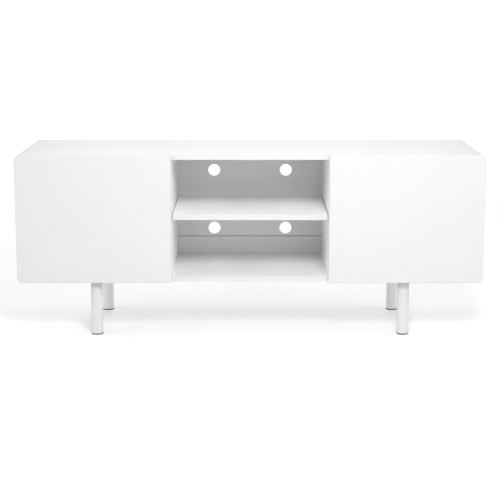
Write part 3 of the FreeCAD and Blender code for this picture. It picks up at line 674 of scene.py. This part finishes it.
def latch_plunger(cad_name, material):
    """The plunger: a rod with a groove behind its head and a dished tip."""
    low, high = places_box([vertex.co for vertex in frame["nodes"][cad_name].data.vertices])
    middle = (low + high) / 2
    radius = (high.x - low.x) / 2
    length = high.y - low.y
    rod = lathe([(0.0, 0.0), (radius - TIP_ROUNDING, 0.0), (radius, TIP_ROUNDING),
                 (radius, length - GROOVE_MOUTH[0]),
                 (radius - GROOVE_DEPTH, length - GROOVE_FLOOR[0]),
                 (radius - GROOVE_DEPTH, length - GROOVE_FLOOR[1]),
                 (radius, length - GROOVE_MOUTH[1]),
                 (radius, length - TIP_ROUNDING), (radius - TIP_ROUNDING, length),
                 (DISH_MOUTH * radius, length), (DISH_FLOOR * radius, length - DISH_DEPTH),
                 (0.0, length - DISH_DEPTH)], ROUND_STEPS)
    parts = [(finished_mesh(rod, "rod"), facing_front((middle.x, high.y, middle.z)))]
    stand_in(gather(cad_name + "_detail", parts), material, cad_name)


# ------------------------------------------------------------------ the stand

dress(["left_door"],
      lacquered_veneer("left_door_veneer", along="Z", across="X", offset=0.115))
dress(["right_door"],
      lacquered_veneer("right_door_veneer", along="Z", across="X", offset=0.035))
dress(["top_panel"],
      lacquered_veneer("top_veneer", along="X", across="Y", offset=0.310))
# The bottom panel, shelves and dividers are tinted lighter: painted light for the bay and the
# underside, which the studio leaves in shade.
dress(["bottom_panel"],
      lacquered_veneer("bottom_veneer_painted_light", along="X", across="Y", offset=0.530, tint=LOWER_LACQUER_PAINTED_LIGHT))
dress(["centre_shelf", "left_shelf", "right_shelf"],
      lacquered_veneer("shelf_veneer_painted_light", along="X", across="Y", offset=0.770, tint=INNER_LACQUER_PAINTED_LIGHT,
                       ends=CORE_GREY_AND_GROOVE_SHADOW))
dress(["left_side_panel", "right_side_panel"],
      lacquered_veneer("side_veneer", along="Z", across="Y", offset=0.990))
dress(["left_divider", "right_divider"],
      lacquered_veneer("divider_veneer_painted_light", along="Z", across="Y", offset=1.210, tint=INNER_LACQUER_PAINTED_LIGHT))
dress(["centre_back_panel", "centre_back_strip", "left_back_panel", "right_back_panel"],
      foil_board("white_foil"))
# The rear legs take a lighter tint. It is painted light against the shade they stand in under the
# stand.
for number, (corner, tint) in enumerate((
        ("front_left", LEG_WHITE), ("front_right", LEG_WHITE),
        ("rear_left", REAR_LEG_PAINTED_LIGHT_WHITE), ("rear_right", REAR_LEG_PAINTED_LIGHT_WHITE))):
    dress([corner + "_leg"],
          lacquered_veneer(corner + "_leg_lacquer", along="Z", across="X",
                           offset=0.21 * number + 0.07, tint=tint, leaf=0.045, spacing=0.005))
dress(["dowels"], raw_beech("dowel_beech"))

plated_steel = metal("zinc_plated_steel", STEEL, rough=0.30, grain=500.0)
dress(["cam_bolts", "hanger_bolts"], plated_steel)
wood_screw = screw_mesh(head_radius=0.00325, head_height=SCREW_HEAD_HEIGHT,
                        shank_radius=0.00175, length=0.011)
for name in ("leg_plate_screws", "hinge_plate_screws", "hinge_arm_screws", "latch_screws",
             "left_cup_screws", "right_cup_screws"):
    screw_set(name, wood_screw, plated_steel)
soften(["leg_plates"], width=0.0006, material=plated_steel)
soften(["left_strike_plate", "right_strike_plate"], width=0.0004, material=plated_steel)
soften(["cam_nuts"], width=0.0003, material=metal("cast_zinc", ZINC, rough=0.42, grain=300.0))

nickel_pressing = metal("nickel_pressing", NICKEL, rough=0.26, grain=500.0)
adjusting_screw = screw_mesh(head_radius=0.0028, head_height=0.0012,
                             shank_radius=0.0017, length=0.003)
hinge_arms("left_hinge_arms", adjusting_screw, nickel_pressing)
hinge_arms("right_hinge_arms", adjusting_screw, nickel_pressing)
soften(["left_hinge_plates", "right_hinge_plates"], width=0.0006, material=nickel_pressing)
soften(["left_hinge_cups", "right_hinge_cups"], width=0.00025, material=nickel_pressing)
dress(["shelf_pins", "left_hinge_pins", "right_hinge_pins"],
      metal("nickel_rod", NICKEL, rough=0.22, grain=700.0))

latch_white = moulded_plastic("latch_white", LATCH_WHITE, rough=0.42)
plunger_grey = moulded_plastic("plunger_grey", PLUNGER_GREY, rough=0.40)
for side in ("left", "right"):
    latch_housing(side + "_latch_body", latch_white)
    latch_plunger(side + "_latch_plunger", plunger_grey)
# The glides' near-black is partly painted shadow where the feet meet the floor.
soften(["leg_glides"], width=0.0005,
       material=moulded_plastic("glide_plastic_and_foot_shadow", GLIDE_BLACK_AND_FOOT_SHADOW, rough=0.60, gloss=0.15))


# ------------------------------------------------------------------ stage, light and camera

def floor_plane():
    """A wide floor at the height of the stand's feet."""
    mesh = bpy.data.meshes.new("floor")
    corners = [(-FLOOR_REACH, -FLOOR_REACH, cad_low.z), (FLOOR_REACH, -FLOOR_REACH, cad_low.z),
               (FLOOR_REACH, FLOOR_REACH, cad_low.z), (-FLOOR_REACH, FLOOR_REACH, cad_low.z)]
    mesh.from_pydata(corners, [], [(0, 1, 2, 3)])
    floor = bpy.data.objects.new("floor", mesh)
    bpy.context.scene.collection.objects.link(floor)
    mesh.materials.append(floor_material())


def soft_box(name, place, size, power, mirrored=True):
    """A square area light that faces the stand's middle. Glossy faces show it if it is mirrored."""
    lamp = bpy.data.lights.new(name, "AREA")
    lamp.shape = "SQUARE"
    lamp.size = size
    lamp.energy = power
    light = bpy.data.objects.new(name, lamp)
    bpy.context.scene.collection.objects.link(light)
    light.location = place
    light.visible_glossy = mirrored
    aim = (cad_low + cad_high) / 2 - light.location
    light.rotation_euler = aim.to_track_quat("-Z", "Y").to_euler()


def studio_world(fill):
    """A white backdrop that adds only a soft fill to the light on the stand."""
    world = bpy.data.worlds.new("studio")
    bpy.context.scene.world = world
    world.use_nodes = True
    tree = world.node_tree
    seen = node(tree, "ShaderNodeLightPath").outputs["Is Camera Ray"]
    background = tree.nodes["Background"]
    background.inputs["Color"].default_value = (1.0, 1.0, 1.0, 1.0)
    strength = node(tree, "ShaderNodeMapRange",
                    {"Value": seen, "To Min": fill, "To Max": BACKDROP_GLOW})
    tree.links.new(strength.outputs["Result"], background.inputs["Strength"])


def photo_camera():
    """Square on to the front, above the top, tilted down and shifted a little."""
    data = bpy.data.cameras.new("camera")
    data.lens = CAMERA_LENS
    data.sensor_width = CAMERA_SENSOR
    data.shift_y = CAMERA_SHIFT
    camera = bpy.data.objects.new("camera", data)
    bpy.context.scene.collection.objects.link(camera)
    camera.location = (0.0, cad_low.y - CAMERA_DISTANCE, cad_high.z + CAMERA_RISE)
    camera.rotation_euler = (math.radians(90.0 - CAMERA_TILT), 0.0, 0.0)
    bpy.context.scene.camera = camera


floor_plane()
studio_world(fill=0.50)
soft_box("left_wall", place=(-4.0, -0.7, 2.0), size=3.0, power=87.0)
soft_box("right_wall", place=(4.0, -0.3, 2.0), size=3.0, power=76.0)
soft_box("back_wall", place=(0.0, 3.5, 3.0), size=3.0, power=52.0)
soft_box("over_back", place=(0.0, 1.5, 3.6), size=3.0, power=30.0)
# Its reflection would burn the top out in views from behind.
soft_box("front_high", place=(0.28, -2.05, 1.75), size=0.7, power=49.0, mirrored=False)
soft_box("front_wall", place=(0.8, -4.6, 0.7), size=2.5, power=22.0)
photo_camera()
bpy.context.scene.view_settings.view_transform = "Standard"
bpy.context.scene.view_settings.look = "None"
